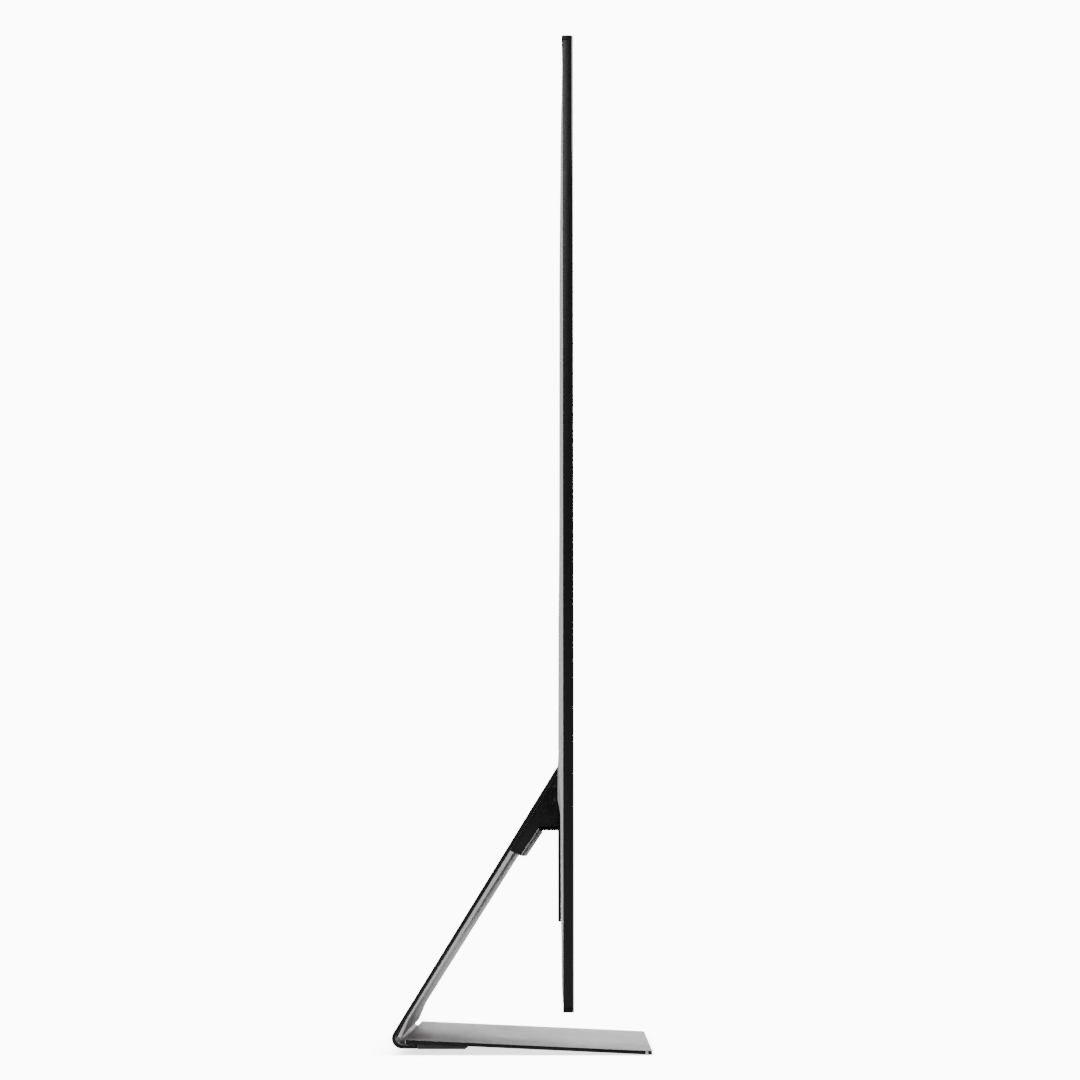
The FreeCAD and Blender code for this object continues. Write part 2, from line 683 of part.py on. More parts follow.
def hanger_screws(chassis_depth):
    """Low-head screws, flush in the hanger plate, that reach the chassis."""
    screws = []
    seat = FRONT_Y + HANGER_SCREW_SEAT
    for x, z in hanger_screw_points():
        head = rod_y(x, z, 4.8, seat, seat + 1.5)
        shank = rod_y(x, z, 2.5, FRONT_Y + chassis_depth, seat)
        socket = rod_y(x, z, 1.6, seat + 0.6, seat + 4.0)
        screws.append(head.fuse(shank).cut(socket))
    return screws


# Sockets under the neck

def socket_tubes(places, half_x, half_y):
    """Metal socket shells, open downwards, their mouths just inside the plate."""
    shells = []
    for x in places:
        outer = box((x - half_x, x + half_x), (SOCKET_Y - half_y, SOCKET_Y + half_y),
                    (SOCKET_MOUTH, SOCKET_TOP))
        clear_x, clear_y = half_x - SOCKET_WALL, half_y - SOCKET_WALL
        inner = box((x - clear_x, x + clear_x), (SOCKET_Y - clear_y, SOCKET_Y + clear_y),
                    (NECK_BOTTOM - 1.0, SOCKET_TOP - 1.5))
        shells.append(outer.cut(inner))
    return shells


def usb_tongues():
    return [box((x - 5.6, x + 5.6), (SOCKET_Y + 1.4, SOCKET_Y + 3.0), (NECK_BOTTOM + 2.0, SOCKET_TOP - 1.5))
            for x in USB_X]


def power_inlet():
    """A two-pin inlet: a figure-eight well in a block."""
    y = SOCKET_Y
    half_x, half_y = INLET_HALF
    lobe = INLET_PIN_X
    block = box((INLET_X - half_x, INLET_X + half_x), (y - half_y, y + half_y),
                (NECK_BOTTOM, SOCKET_TOP + 3.0))
    well = box((INLET_X - lobe, INLET_X + lobe), (y - lobe, y + lobe), (NECK_BOTTOM - 1.0, SOCKET_TOP + 1.0))
    for side in (-1, 1):
        well = well.fuse(rod_z(INLET_X + side * lobe, y, lobe, NECK_BOTTOM - 1.0, SOCKET_TOP + 1.0))
    return block.cut(well)


def inlet_pins():
    return [rod_z(INLET_X + side * INLET_PIN_X, SOCKET_Y, 1.2, NECK_BOTTOM + 3.0, SOCKET_TOP + 1.0)
            for side in (-1, 1)]


def switch_frame():
    """The bezel and body that the rocker turns in."""
    half_x, half_y = SWITCH_HALF
    clear_x = ROCKER_HALF_X + ROCKER_GAP + 0.6
    clear_y = ROCKER_HALF_Y + ROCKER_GAP
    frame = box((ROCKER_X - half_x, ROCKER_X + half_x), (SOCKET_Y - half_y, SOCKET_Y + half_y),
                (NECK_BOTTOM, SOCKET_TOP + 3.0))
    well = box((ROCKER_X - clear_x, ROCKER_X + clear_x), (SOCKET_Y - clear_y, SOCKET_Y + clear_y),
               (NECK_BOTTOM - 1.0, SOCKET_TOP + 1.0))
    pin_hole = rod_y(ROCKER_X, ROCKER_PIVOT_Z, 1.05, SOCKET_Y - 5.6, SOCKET_Y + 5.6)
    return frame.cut(well).cut(pin_hole)


def main_switch():
    """The rocker: a shallow V face on a drum, with pivot stubs, resting tilted one way."""
    low = NECK_BOTTOM
    pivot = ROCKER_PIVOT_Z
    x = ROCKER_X
    half = ROCKER_HALF_X
    face = [(x - half, low - 0.3), (x, low + 1.0), (x + half, low - 0.3), (x + half, low + 2.2),
            (x + 3.2, pivot + 2.4), (x - 3.2, pivot + 2.4), (x - half, low + 2.2)]
    corners = [V(px, SOCKET_Y - ROCKER_HALF_Y, pz) for px, pz in face]
    body = Part.Face(Part.makePolygon(corners + corners[:1])).extrude(V(0, 2 * ROCKER_HALF_Y, 0))
    body = body.fuse(rod_y(x, pivot, 1.0, SOCKET_Y - 5.4, SOCKET_Y + 5.4))
    body.rotate(V(x, SOCKET_Y, pivot), V(0, 1, 0), ROCKER_TILT)
    return body


def window_plate(x, fittings):
    """A pressed plate in the neck's underside, cut to fit its (x, half sizes) fittings."""
    z = (NECK_BOTTOM + 0.4, NECK_BOTTOM + 1.6)
    plate = box(x, WINDOW_Y, z)
    for middle, (half_x, half_y) in fittings:
        plate = plate.cut(box((middle - half_x, middle + half_x), (SOCKET_Y - half_y, SOCKET_Y + half_y),
                              (z[0] - 1.0, z[1] + 1.0)))
    return plate


def power_plate():
    return window_plate((WINDOW_X[0], PLATE_SPLIT_X - 0.1), [(INLET_X, INLET_HALF), (ROCKER_X, SWITCH_HALF)])


def socket_plate():
    fittings = [(x, HDMI_HALF) for x in HDMI_X] + [(x, USB_HALF) for x in USB_X]
    return window_plate((PLATE_SPLIT_X + 0.1, WINDOW_X[1]), fittings)


def connector_board():
    """The board inside the neck that the signal sockets are soldered to."""
    z = SOCKET_TOP
    return box((-32.0, 84.0), (-35.0, -20.0), (z, z + 1.4))


def link_cables(chassis_depth):
    """Flat leads from the neck's board, up behind the cover's lower middle."""
    y = FRONT_Y + chassis_depth
    return [box((x, x + 14.0), (y + 0.3, y + 0.7), (262.0, 398.0)) for x in (-30.0, 20.0)]


def build():
    os.makedirs("parts", exist_ok=True)
    sheets, depth = optical_stack()
    chassis_depth = depth + CHASSIS_T
    save("front_glass", front_glass())
    for name, sheet in sheets.items():
        save(name, sheet)
    save("chassis_plate", chassis_plate(depth))
    save("left_rail", side_rail(-1))
    save("right_rail", side_rail(1))
    save("top_rail", top_rail())
    save("bottom_rail", bottom_rail())
    save("corner_brackets", *corner_brackets())
    save("rear_cover", rear_cover())
    save("cover_screws", *cover_screws(chassis_depth))
    save("vesa_inserts", *vesa_inserts(chassis_depth))
    save("main_board", circuit_board("main_board", chassis_depth,
                                     [(85.0, 55.0, 60.0, 50.0, 1.2), (20.0, 30.0, 30.0, 22.0, 1.4),
                                      (170.0, 90.0, 34.0, 26.0, 1.2), (20.0, 100.0, 44.0, 12.0, 1.6)]))
    save("power_board", circuit_board("power_board", chassis_depth,
                                      [(20.0, 20.0, 48.0, 60.0, 1.8), (90.0, 20.0, 40.0, 44.0, 1.8),
                                       (24.0, 100.0, 60.0, 30.0, 1.6), (150.0, 60.0, 40.0, 70.0, 1.7)]))
    save("timing_board", circuit_board("timing_board", chassis_depth,
                                       [(40.0, 14.0, 24.0, 20.0, 1.0), (118.0, 12.0, 26.0, 24.0, 1.2),
                                        (196.0, 14.0, 24.0, 20.0, 1.0)]))
    save("heat_spreader", heat_spreader(chassis_depth))
    save("board_standoffs", *board_standoffs(chassis_depth))
    save("ribbon_cables", *ribbon_cables(chassis_depth))
    save("link_cables", *link_cables(chassis_depth))
    save("left_speaker", speaker(-1, chassis_depth))
    save("right_speaker", speaker(1, chassis_depth))
    save("power_button", power_button())
    save("button_switch", button_switch())
    save("sensor_window", sensor_window())
    save("sensor_board", sensor_board())
    save("leg_plate", leg_plate())
    save("leg_cover", leg_cover())
    save("base_plate", base_plate())
    save("foot_block", foot_block())
    save("base_screws", *base_screws())
    save("rear_pads", *rear_pads())
    save("front_pads", *front_pads())
    save("neck_shell", neck_shell())
    save("neck_side_screws", *neck_side_screws())
    save("neck_trim", neck_trim())
    save("hanger_plate", hanger_plate())
    save("hanger_screws", *hanger_screws(chassis_depth))
    save("power_plate", power_plate())
    save("socket_plate", socket_plate())
    save("connector_board", connector_board())
    save("power_inlet", power_inlet())
    save("inlet_pins", *inlet_pins())
    save("hdmi_sockets", *socket_tubes(HDMI_X, *HDMI_HALF))
    save("usb_sockets", *socket_tubes(USB_X, *USB_HALF))
    save("usb_tongues", *usb_tongues())
    save("switch_frame", switch_frame())
    save("main_switch", main_switch())


build()
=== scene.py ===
"""The looks of the flat touch display on its bent-plate stand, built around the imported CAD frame.

Metres, in the frame's own axes: X across the display, -Y is the side the screen faces, +Z is up.
"""

import json
import math

import bmesh
import bpy
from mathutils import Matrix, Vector


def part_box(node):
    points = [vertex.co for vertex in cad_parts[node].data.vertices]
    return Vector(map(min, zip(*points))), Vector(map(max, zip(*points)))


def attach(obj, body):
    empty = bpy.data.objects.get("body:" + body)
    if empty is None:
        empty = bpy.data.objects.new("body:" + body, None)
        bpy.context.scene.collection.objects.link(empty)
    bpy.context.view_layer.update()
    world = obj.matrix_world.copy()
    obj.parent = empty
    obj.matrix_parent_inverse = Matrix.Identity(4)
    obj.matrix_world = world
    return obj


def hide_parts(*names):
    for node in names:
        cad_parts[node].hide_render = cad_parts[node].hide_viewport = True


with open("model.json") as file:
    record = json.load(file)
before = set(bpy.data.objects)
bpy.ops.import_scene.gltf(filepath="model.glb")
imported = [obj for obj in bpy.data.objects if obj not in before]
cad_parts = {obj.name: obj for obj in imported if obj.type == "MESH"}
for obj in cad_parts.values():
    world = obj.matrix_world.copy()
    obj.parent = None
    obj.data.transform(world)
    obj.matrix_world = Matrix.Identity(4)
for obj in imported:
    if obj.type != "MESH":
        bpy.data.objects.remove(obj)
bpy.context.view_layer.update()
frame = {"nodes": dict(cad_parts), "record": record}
NODES = frame["nodes"]
BODY = "display_and_stand"
leg_low, leg_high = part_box("leg_plate")

# Camera: a long lens, low beside the object, looking a little up
CAMERA_PLACE = (-3.2344, -0.0515, 0.1925)
CAMERA_LENS = 100.5
CAMERA_PITCH = math.radians(6.095)
CAMERA_YAW = math.radians(0.628)

# Brightness of the white room as the camera sees it, and of the floor in the object's shade
ROOM_GLOW = 11.0
SHADE_GLOW = 2.2
SHADE_REACH = 0.05

# Brightness of the surroundings that light the object
WORLD_STRENGTH = 2.0

# Sizes of the finishing work: how far each edge is rounded, and the angles that count as an edge
PLATE_ARRIS = 0.0007
COVER_ARRIS = 0.0004
MOULDED_ARRIS = 0.0009
PAD_ARRIS = 0.0006
HANGER_ARRIS = 0.0004
DISPLAY_ARRIS = 0.0003
SMOOTH_ANGLE = math.radians(32)
BEVEL_ANGLE = math.radians(25)
FLAT_ANGLE = math.radians(0.4)
WELD_DISTANCE = 1e-6

# Shares of a face's normal along an axis, which tell a piece's faces, rounded arrises and edges apart, and
# pick the facets that take a painted highlight or glint
ARRIS_FROM = 0.35
EDGE_FROM = 0.93
UPRIGHT_TO = 0.2
# Arris facets of the neck beside the leg plate that take a painted highlight
SEAM_HIGHLIGHT_SHARE = (0.2, 0.98)
SEAM_HIGHLIGHT_REARWARD = 0.1
CORNER_SIDEWAYS = 0.8
# Corner facets of the base plate that take a painted glint where each rounded corner begins
CORNER_PAINTED_GLINT = (0.06, 0.40)
# Facets of the foot block's rear upright arris that take a painted highlight
BLOCK_SIDEWAYS = 0.4
BLOCK_REARWARD = 0.3
DOWN_FACING = -0.5
FRONT_FACING = -0.4

# Outer radius of the bend in the leg plate, and the line that it turns about
BEND_R = 0.0102
BEND_AXIS = Vector((0, leg_high.y - BEND_R, leg_low.z + BEND_R))

# Dust cloths behind the slots: half width, lowest and highest point; and how far in they hang
TOP_CLOTH = (0.372, 0.792, 0.844)
LOWER_CLOTH = (0.200, 0.326, 0.350)
CLOTH_INSET = 0.0033
CLOTH_SAG = 0.0004
CLOTH_COLUMNS, CLOTH_ROWS = 24, 4

# Printed black border round the picture area
PRINTED_BORDER = 0.0085

FLOOR_HALF_SIZE = 60.0


# Node helpers

def new_material(name):
    """A material with only a Principled shader, returned with its node tree and shader."""
    material = bpy.data.materials.new(name)
    material.use_nodes = True
    tree = material.node_tree
    shader = next(node for node in tree.nodes if node.type == "BSDF_PRINCIPLED")
    return material, tree, shader


def node(tree, kind, **values):
    made = tree.nodes.new(kind)
    for key, value in values.items():
        setattr(made, key, value)
    return made


def coordinates(tree, scale=(1, 1, 1)):
    """Object-space position, stretched by the scale."""
    source = node(tree, "ShaderNodeTexCoord")
    mapping = node(tree, "ShaderNodeMapping")
    mapping.inputs["Scale"].default_value = scale
    tree.links.new(source.outputs["Object"], mapping.inputs["Vector"])
    return mapping.outputs["Vector"]


def noise(tree, vector, scale, detail=4.0, roughness=0.6):
    texture = node(tree, "ShaderNodeTexNoise")
    texture.inputs["Scale"].default_value = scale
    texture.inputs["Detail"].default_value = detail
    texture.inputs["Roughness"].default_value = roughness
    tree.links.new(vector, texture.inputs["Vector"])
    return texture.outputs["Fac"]


def spread(tree, value, low, high, from_low=0.3, from_high=0.7):
    """Maps a noise value to the range from low to high."""
    ranged = node(tree, "ShaderNodeMapRange")
    ranged.inputs["From Min"].default_value = from_low
    ranged.inputs["From Max"].default_value = from_high
    ranged.inputs["To Min"].default_value = low
    ranged.inputs["To Max"].default_value = high
    tree.links.new(value, ranged.inputs["Value"])
    return ranged.outputs["Result"]


def mixed_colour(tree, factor, first, second):
    mix = node(tree, "ShaderNodeMix", data_type="RGBA")
    mix.inputs["A"].default_value = (*first, 1)
    mix.inputs["B"].default_value = (*second, 1)
    tree.links.new(factor, mix.inputs["Factor"])
    return mix.outputs["Result"]


def bump(tree, shader, height, distance, strength=1.0, previous=None):
    made = node(tree, "ShaderNodeBump")
    made.inputs["Distance"].default_value = distance
    made.inputs["Strength"].default_value = strength
    tree.links.new(height, made.inputs["Height"])
    if previous is not None:
        tree.links.new(previous, made.inputs["Normal"])
    tree.links.new(made.outputs["Normal"], shader.inputs["Normal"])
    return made.outputs["Normal"]


# Materials

def coated_metal(name, colour, roughness, grain=(1, 1, 1), grain_scale=900.0, metallic=0.0,
                 variation=0.12, depth=0.00001, smudge=0.06, specular=0.5):
    """Paint or anodising: fine grain, faint cloudy variation in colour, and handling marks in the gloss."""
    material, tree, shader = new_material(name)
    fine = noise(tree, coordinates(tree, grain), grain_scale, 3.0)
    cloud = noise(tree, coordinates(tree), 9.0, 5.0)
    darker = tuple(part * (1 - variation) for part in colour)
    lighter = tuple(min(1.0, part * (1 + variation)) for part in colour)
    tone = spread(tree, cloud, 0.0, 1.0)
    tree.links.new(mixed_colour(tree, tone, darker, lighter), shader.inputs["Base Color"])
    marks = noise(tree, coordinates(tree, (1, 1, 3)), 26.0, 6.0, 0.7)
    tree.links.new(spread(tree, marks, roughness - smudge, roughness + smudge), shader.inputs["Roughness"])
    shader.inputs["Metallic"].default_value = metallic
    shader.inputs["Specular IOR Level"].default_value = specular
    bump(tree, shader, fine, depth)
    return material


def brushed_metal(name, colour, roughness, direction):
    """Metal with fine hairlines along one axis."""
    material, tree, shader = new_material(name)
    lines = noise(tree, coordinates(tree, direction), 1.0, 4.0, 0.7)
    tree.links.new(spread(tree, lines, roughness - 0.08, roughness + 0.1), shader.inputs["Roughness"])
    tone = spread(tree, lines, 0.0, 1.0)
    darker = tuple(part * 0.86 for part in colour)
    tree.links.new(mixed_colour(tree, tone, darker, colour), shader.inputs["Base Color"])
    shader.inputs["Metallic"].default_value = 1.0
    bump(tree, shader, lines, 0.00002)
    return material


def gloss_moulding(name, colour, roughness, specular=0.5):
    """Polished or satin moulded plastic, with a slight orange peel."""
    material, tree, shader = new_material(name)
    peel = noise(tree, coordinates(tree), 260.0, 2.0, 0.4)
    wear = noise(tree, coordinates(tree, (1, 2, 1)), 34.0, 6.0, 0.75)
    lighter = tuple(part * 1.5 + 0.002 for part in colour)
    tone = mixed_colour(tree, spread(tree, wear, 0.0, 1.0), colour, lighter)
    tree.links.new(tone, shader.inputs["Base Color"])
    tree.links.new(spread(tree, wear, roughness * 0.75, roughness * 1.4), shader.inputs["Roughness"])
    shader.inputs["Specular IOR Level"].default_value = specular
    bump(tree, shader, peel, 0.00002, 0.5)
    return material


def screen_glass():
    """Dark cover glass: a printed black border round a faintly bluer picture area with a fine pixel pitch."""
    material, tree, shader = new_material("screen_glass")
    low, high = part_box("front_glass")
    source = node(tree, "ShaderNodeTexCoord")
    parts = node(tree, "ShaderNodeSeparateXYZ")
    tree.links.new(source.outputs["Object"], parts.inputs["Vector"])

    def inside(axis, centre, half):
        moved = node(tree, "ShaderNodeMath", operation="SUBTRACT")
        moved.inputs[1].default_value = centre
        tree.links.new(parts.outputs[axis], moved.inputs[0])
        size = node(tree, "ShaderNodeMath", operation="ABSOLUTE")
        tree.links.new(moved.outputs[0], size.inputs[0])
        test = node(tree, "ShaderNodeMath", operation="LESS_THAN")
        test.inputs[1].default_value = half
        tree.links.new(size.outputs[0], test.inputs[0])
        return test.outputs[0]

    across = inside("X", 0.0, high.x - PRINTED_BORDER)
    upright = inside("Z", (low.z + high.z) / 2, (high.z - low.z) / 2 - PRINTED_BORDER)
    both = node(tree, "ShaderNodeMath", operation="MULTIPLY")
    tree.links.new(across, both.inputs[0])
    tree.links.new(upright, both.inputs[1])
    base = mixed_colour(tree, both.outputs[0], (0.0025, 0.0025, 0.003), (0.009, 0.010, 0.013))
    tree.links.new(base, shader.inputs["Base Color"])
    film = noise(tree, coordinates(tree), 14.0, 7.0, 0.7)
    tree.links.new(spread(tree, film, 0.05, 0.13), shader.inputs["Roughness"])
    shader.inputs["IOR"].default_value = 1.52
    waviness = noise(tree, coordinates(tree), 3.0, 1.0)
    bump(tree, shader, waviness, 0.00008, 0.3)
    return material


def board_lacquer():
    """Green board lacquer over copper tracks that show as faint raised lines."""
    material, tree, shader = new_material("board_green")
    vector = coordinates(tree)
    tracks = node(tree, "ShaderNodeTexBrick")
    tracks.inputs["Scale"].default_value = 60.0
    tracks.inputs["Mortar Size"].default_value = 0.03
    tracks.inputs["Color1"].default_value = (0.010, 0.090, 0.040, 1)
    tracks.inputs["Color2"].default_value = (0.014, 0.120, 0.052, 1)
    tracks.inputs["Mortar"].default_value = (0.045, 0.220, 0.090, 1)
    tree.links.new(vector, tracks.inputs["Vector"])
    tree.links.new(tracks.outputs["Color"], shader.inputs["Base Color"])
    tree.links.new(spread(tree, noise(tree, vector, 70.0), 0.25, 0.42), shader.inputs["Roughness"])
    bump(tree, shader, tracks.outputs["Fac"], 0.00005)
    return material


def rubber():
    """Dull black rubber with a fine grain and a little dust."""
    material, tree, shader = new_material("rubber_black")
    grain = noise(tree, coordinates(tree), 1500.0, 4.0, 0.8)
    dust = noise(tree, coordinates(tree), 60.0, 6.0, 0.7)
    dusty = spread(tree, dust, 0.0, 1.0, 0.45, 0.75)
    tone = mixed_colour(tree, dusty, (0.012, 0.012, 0.012), (0.035, 0.034, 0.032))
    tree.links.new(tone, shader.inputs["Base Color"])
    tree.links.new(spread(tree, dust, 0.7, 0.9), shader.inputs["Roughness"])
    bump(tree, shader, grain, 0.00008)
    return material


def woven_screen():
    """Fine black dust cloth, seen through the slots."""
    material, tree, shader = new_material("dust_cloth")
    vector = coordinates(tree)
    across = node(tree, "ShaderNodeTexWave", bands_direction="X")
    along = node(tree, "ShaderNodeTexWave", bands_direction="Z")
    for wave in (across, along):
        wave.inputs["Scale"].default_value = 420.0
        tree.links.new(vector, wave.inputs["Vector"])
    woven = node(tree, "ShaderNodeMath", operation="MULTIPLY")
    tree.links.new(across.outputs["Fac"], woven.inputs[0])
    tree.links.new(along.outputs["Fac"], woven.inputs[1])
    colour = mixed_colour(tree, woven.outputs[0], (0.004, 0.004, 0.004), (0.030, 0.030, 0.031))
    tree.links.new(colour, shader.inputs["Base Color"])
    shader.inputs["Roughness"].default_value = 0.85
    bump(tree, shader, woven.outputs[0], 0.0001)
    return material


FACE_GREY = (0.345, 0.325, 0.328)
# Leg cover and neck trim grey: the plates' grey made lighter to stand in for the light they lack in the shade
# behind the display, which is painted light
SATIN_GREY_PAINTED_LIGHT = (0.56, 0.54, 0.543)
COVER_GREY = (0.27, 0.27, 0.275)
EDGE_BLACK = (0.004, 0.004, 0.0043)

MATERIALS = {
    "screen_glass": screen_glass(),
    "sensor_film": gloss_moulding("sensor_film", (0.02, 0.02, 0.022), 0.2),
    "cell_dark": gloss_moulding("cell_dark", (0.02, 0.02, 0.024), 0.15),
    "optical_white": coated_metal("optical_white", (0.80, 0.80, 0.79), 0.6, variation=0.03),
    "chassis_sheet": brushed_metal("chassis_sheet", (0.52, 0.53, 0.54), 0.38, (60, 60, 2500)),
    "frame_black": coated_metal("frame_black", (0.0034, 0.0035, 0.0037), 0.34, grain=(1, 1, 0.02),
                                grain_scale=2400.0, variation=0.25, specular=0.13),
    "cover_grey": coated_metal("cover_grey", COVER_GREY, 0.5, grain_scale=1100.0, variation=0.025,
                               smudge=0.03),
    "screw_black": coated_metal("screw_black", (0.018, 0.018, 0.018), 0.35, metallic=0.6),
    "bright_steel": brushed_metal("bright_steel", (0.62, 0.62, 0.63), 0.25, (900, 30, 900)),
    "board_green": board_lacquer(),
    "ribbon_white": coated_metal("ribbon_white", (0.74, 0.74, 0.70), 0.45, grain=(1, 1, 0.01),
                                 variation=0.06),
    "moulded_black": gloss_moulding("moulded_black", (0.014, 0.014, 0.015), 0.45),
    "button_black": gloss_moulding("button_black", (0.020, 0.020, 0.021), 0.28),
    "sensor_lens": gloss_moulding("sensor_lens", (0.040, 0.006, 0.008), 0.10),
    "stand_plate": coated_metal("stand_plate", FACE_GREY, 0.46, grain_scale=1600.0, variation=0.03),
    "stand_satin": coated_metal("stand_satin", SATIN_GREY_PAINTED_LIGHT, 0.62, variation=0.03, depth=0.0, smudge=0.02,
                                specular=0.3),
    "neck_black": gloss_moulding("neck_black", (0.0018, 0.0018, 0.002), 0.2, specular=0.18),
    "rubber_black": rubber(),
    "rocker_black": gloss_moulding("rocker_black", (0.008, 0.008, 0.0085), 0.6, specular=0.05),
}
EDGE_MATERIAL = coated_metal("plate_edge_black", EDGE_BLACK, 0.30, grain=(0.02, 1, 1), grain_scale=2000.0,
                             variation=0.2, specular=0.25)
# Painted highlight: a light grey put on the arrises and corners of the stand that face the light
ARRIS_HIGHLIGHT_MATERIAL = coated_metal("plate_arris_painted_highlight", (0.78, 0.76, 0.765), 0.3, variation=0.04, metallic=0.6)
MATT_BLACK = coated_metal("matt_black", (0.004, 0.004, 0.004), 0.85, variation=0.2, specular=0.0)
# Painted highlight: the lighter grey line along the neck's arris beside the leg plate
SEAM_HIGHLIGHT_MATERIAL = coated_metal("neck_seam_painted_highlight", (0.22, 0.22, 0.223), 0.4, variation=0.05, depth=0.0)
# Painted sheen: a metallic copy of the satin grey for the front faces of the leg cover and neck trim, which
# lie in shade, so that they read lighter
FRONT_SHEEN_METAL = coated_metal("satin_metal_painted_sheen", (0.50, 0.485, 0.488), 0.5, metallic=1.0, variation=0.03, depth=0.0,
                           smudge=0.02)
DUST_CLOTH = woven_screen()

# Pieces on the underside of the neck, which are all matt black
UNDER_NECK = ("power_plate", "socket_plate", "power_inlet", "switch_frame")


def dress_cad_nodes():
    """Gives every CAD node the finished material of its slot."""
    slots = {row["node"]: row["material_slot"] for row in frame["record"]["subparts"]}
    for name, obj in NODES.items():
        material = MATT_BLACK if name in UNDER_NECK else MATERIALS[slots[name]]
        if not obj.material_slots:
            obj.data.materials.append(material)
        for slot in obj.material_slots:
            slot.material = material


# Mesh helpers

def clean_copy(name, source):
    """A copy of a CAD node's mesh with its flat faces merged back into single faces."""
    mesh = NODES[source].data.copy()
    mesh.name = name
    shape = bmesh.new()
    shape.from_mesh(mesh)
    bmesh.ops.remove_doubles(shape, verts=shape.verts, dist=WELD_DISTANCE)
    bmesh.ops.dissolve_limit(shape, angle_limit=FLAT_ANGLE, verts=shape.verts, edges=shape.edges)
    shape.normal_update()
    shape.to_mesh(mesh)
    shape.free()
    obj = bpy.data.objects.new(name, mesh)
    bpy.context.collection.objects.link(obj)
    return obj


def bevel_arrises(obj, width, segments=2):
    """Rounds the sharp edges for real, then smooths the shading across curved faces only."""
    shape = bmesh.new()
    shape.from_mesh(obj.data)
    sharp = [edge for edge in shape.edges
             if len(edge.link_faces) == 2 and edge.calc_face_angle(0.0) > BEVEL_ANGLE]
    bmesh.ops.bevel(shape, geom=sharp, offset=width, segments=segments, profile=0.6, affect="EDGES",
                    clamp_overlap=True)
    shape.normal_update()
    shape.to_mesh(obj.data)
    shape.free()
    smooth(obj)


def smooth(obj):
    for face in obj.data.polygons:
        face.use_smooth = True
    obj.data.set_sharp_from_angle(angle=SMOOTH_ANGLE)


def finish_piece(obj, slot, *stands_for):
    """Fixes a piece to the still body and hides the CAD nodes that it stands for; slot is not used."""
    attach(obj, BODY)
    if stands_for:
        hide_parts(*stands_for)
    return obj


def paint_faces(obj, materials, choose):
    """Puts each face on the material whose index choose(centre, normal) gives."""
    obj.data.materials.clear()
    for material in materials:
        obj.data.materials.append(material)
    for face in obj.data.polygons:
        face.material_index = choose(face.center, face.normal)


# Pieces that stand for CAD nodes, with rounded edges

# Material indices on the stand plates: grey face, black edge, and the painted highlight on chosen arrises and
# corners
GREY, BLACK, PAINTED_HIGHLIGHT = 0, 1, 2
NECK_GLOSS, NECK_MATT, NECK_SEAM_HIGHLIGHT = 0, 1, 2


def leg_finish(centre, normal):
    """Grey faces and black edges; a painted highlight on the arris on the inside of the bend and along the
    leg's front, and the arris black elsewhere.
    """
    share = abs(normal.x)
    if share < ARRIS_FROM:
        return GREY
    inward = (BEND_AXIS.y - centre.y) * normal.y + (BEND_AXIS.z - centre.z) * normal.z
    return PAINTED_HIGHLIGHT if share < EDGE_FROM and inward > 0 else BLACK


def foot_finish(_centre, normal):
    """Grey top, black edges and underside; a painted highlight on the upper arris and a painted glint where
    each corner begins.
    """
    if normal.z > EDGE_FROM:
        return GREY
    if normal.z > ARRIS_FROM:
        return PAINTED_HIGHLIGHT
    upright = abs(normal.z) < UPRIGHT_TO
    corner = abs(normal.x) > CORNER_SIDEWAYS and CORNER_PAINTED_GLINT[0] < abs(normal.y) < CORNER_PAINTED_GLINT[1]
    return PAINTED_HIGHLIGHT if upright and corner else BLACK


def neck_finish(_centre, normal):
    """Gloss black, matt underneath; the arris beside the leg plate takes a painted highlight, a lighter grey
    line.
    """
    if normal.z < DOWN_FACING:
        return NECK_MATT
    seam_highlight = normal.y > SEAM_HIGHLIGHT_REARWARD and SEAM_HIGHLIGHT_SHARE[0] < abs(normal.x) < SEAM_HIGHLIGHT_SHARE[1]
    return NECK_SEAM_HIGHLIGHT if seam_highlight else NECK_GLOSS


def cover_finish(_centre, normal):
    """Satin grey sides, lightened as painted light; the front faces, which lie in shade, take a metallic copy
    of the grey that reflects more light: a painted sheen.
    """
    return int(normal.y < FRONT_FACING)


def block_finish(_centre, normal):
    """Black, with a painted highlight on the upright arris at the rear."""
    sideways = abs(normal.x) > BLOCK_SIDEWAYS
    return int(sideways and normal.y > BLOCK_REARWARD and abs(normal.z) < UPRIGHT_TO)


def finished_plate(source, choose):
    obj = clean_copy(source + "_finished", source)
    bevel_arrises(obj, PLATE_ARRIS)
    paint_faces(obj, [MATERIALS["stand_plate"], EDGE_MATERIAL, ARRIS_HIGHLIGHT_MATERIAL], choose)
    return finish_piece(obj, "stand_plate", source)


def bevelled(source, slot, width, segments=2):
    """A CAD node's shape with its edges rounded, in its slot's material."""
    obj = clean_copy(source + "_finished", source)
    bevel_arrises(obj, width, segments)
    obj.data.materials.clear()
    obj.data.materials.append(MATERIALS[slot])
    return finish_piece(obj, slot, source)


def smooth_cad(source):
    """The same surface, with its shading smoothed over the low crown and kept even round its holes."""
    obj = clean_copy(source + "_finished", source)
    smooth(obj)
    even = obj.modifiers.new("even_shading", "WEIGHTED_NORMAL")
    even.weight = 100
    even.keep_sharp = True
    obj.data.materials.clear()
    obj.data.materials.append(MATERIALS["cover_grey"])
    return finish_piece(obj, "cover_grey", source)


